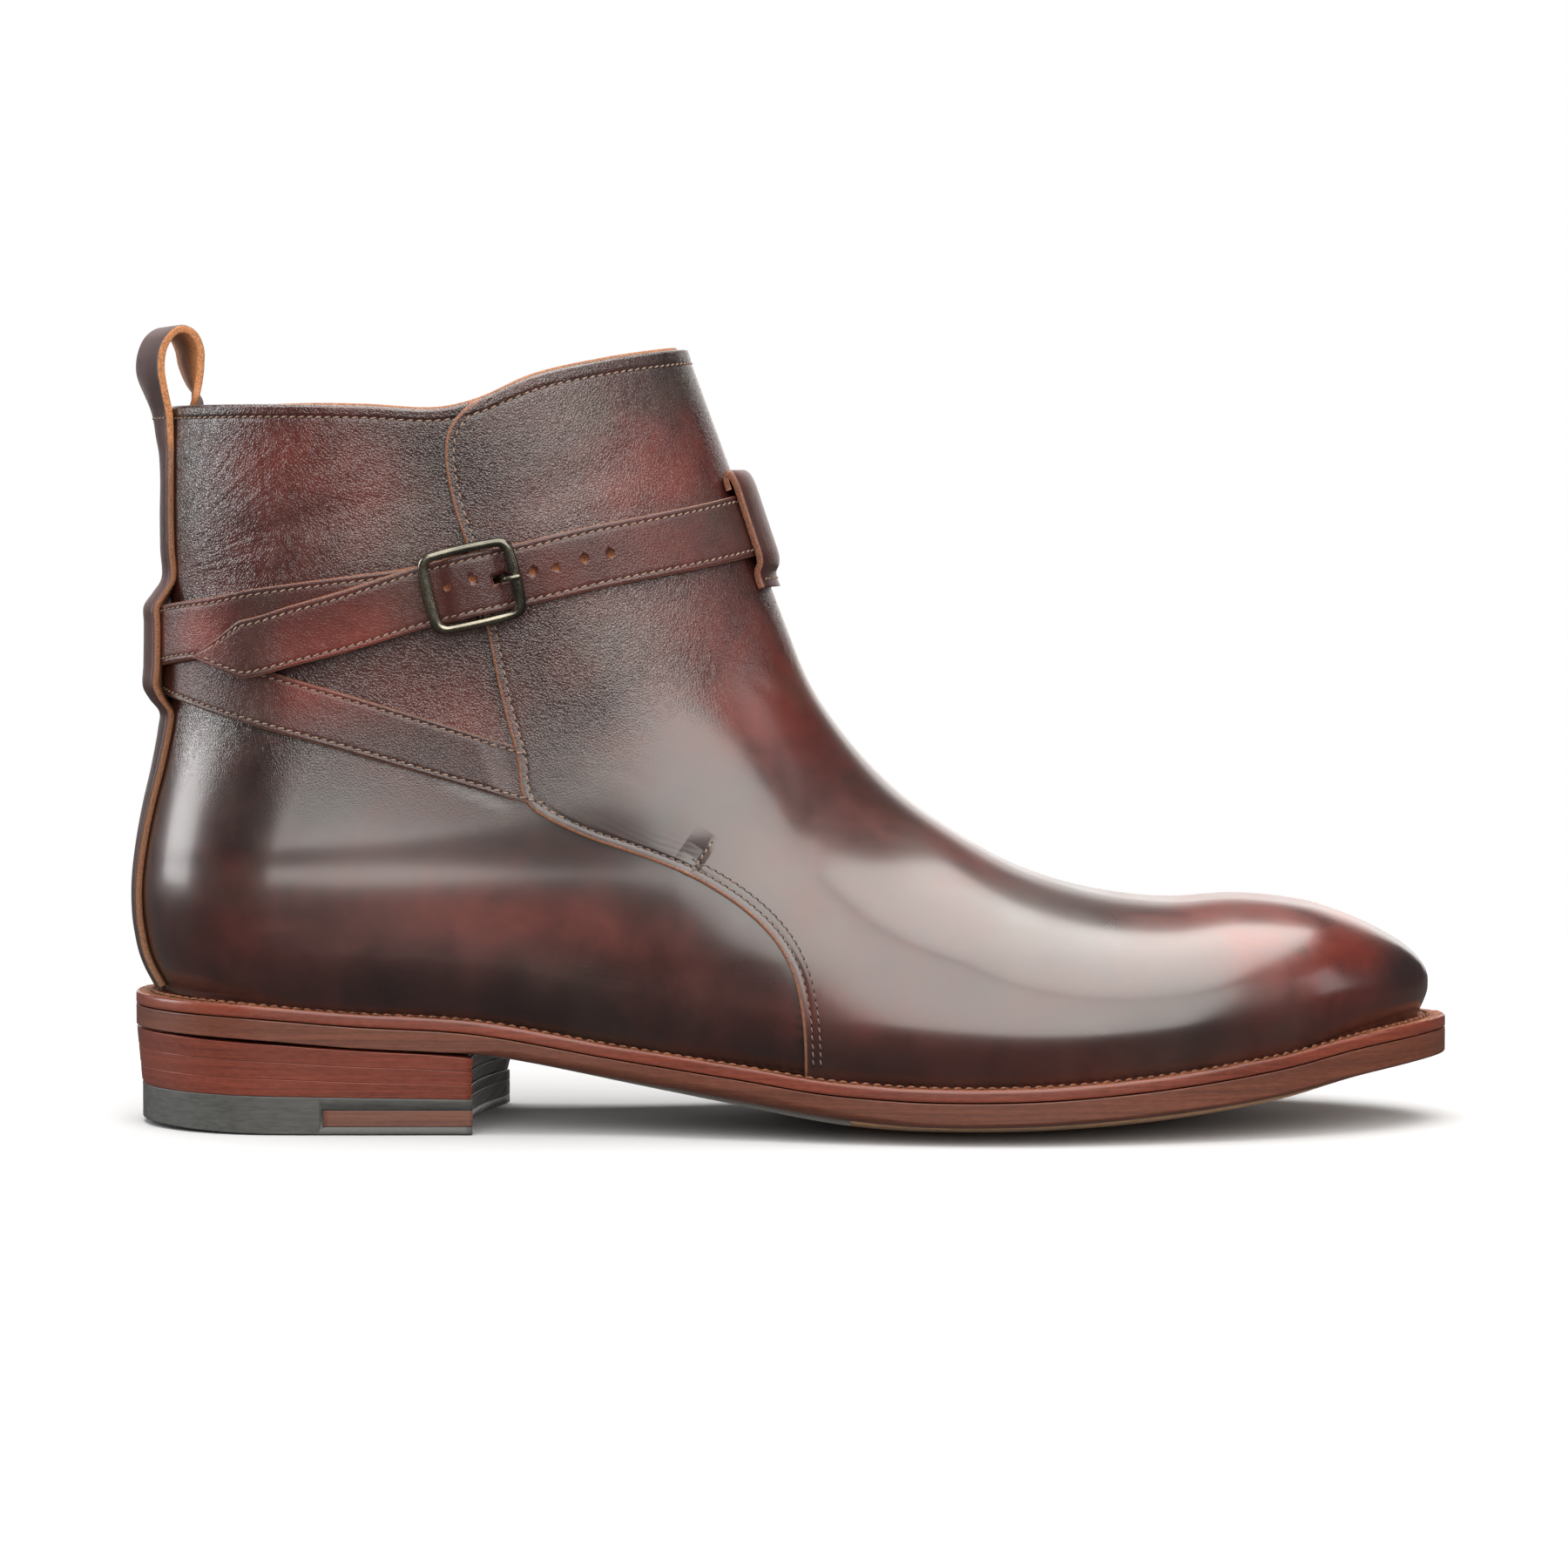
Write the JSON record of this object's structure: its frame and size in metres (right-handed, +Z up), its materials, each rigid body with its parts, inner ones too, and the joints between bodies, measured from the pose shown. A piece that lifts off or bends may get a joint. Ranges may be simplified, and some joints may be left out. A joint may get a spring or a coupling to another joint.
{
  "type": "jodhpur boot",
  "caption": "Right-foot jodhpur ankle boot in burnished brown leather, with a wrap strap, centre-bar buckle, back pull loop, welted leather sole and stacked heel.",
  "frame": {"origin": "on the floor, under the middle of the boot's bounding box", "axes": "+X from heel to toe, +Z up, -Y to the outer (little toe) side of a right foot, where the buckle is"},
  "size_m": [0.309, 0.1058, 0.1857],
  "materials": {
    "upper": "burnished",
    "insole": "matte",
    "welt": "waxed edge",
    "outsole": "waxed edge",
    "heel": "waxed edge",
    "top_lift": "matte",
    "insert": "satin",
    "strap": "satin",
    "metal": "antique nickel"
  },
  "bodies": {
    "root": {"upper": "upper", "insole": "insole", "welt": "welt", "outsole": "outsole", "heel_lift_1": "heel", "heel_lift_2": "heel", "heel_lift_3": "heel", "top_lift": "top_lift", "top_lift_insert": "insert", "backstay": "strap", "strap_long": "strap", "strap_chape": "strap", "front_keeper": "strap", "buckle": "metal", "buckle_prong": "metal"}
  },
  "joints": []
}
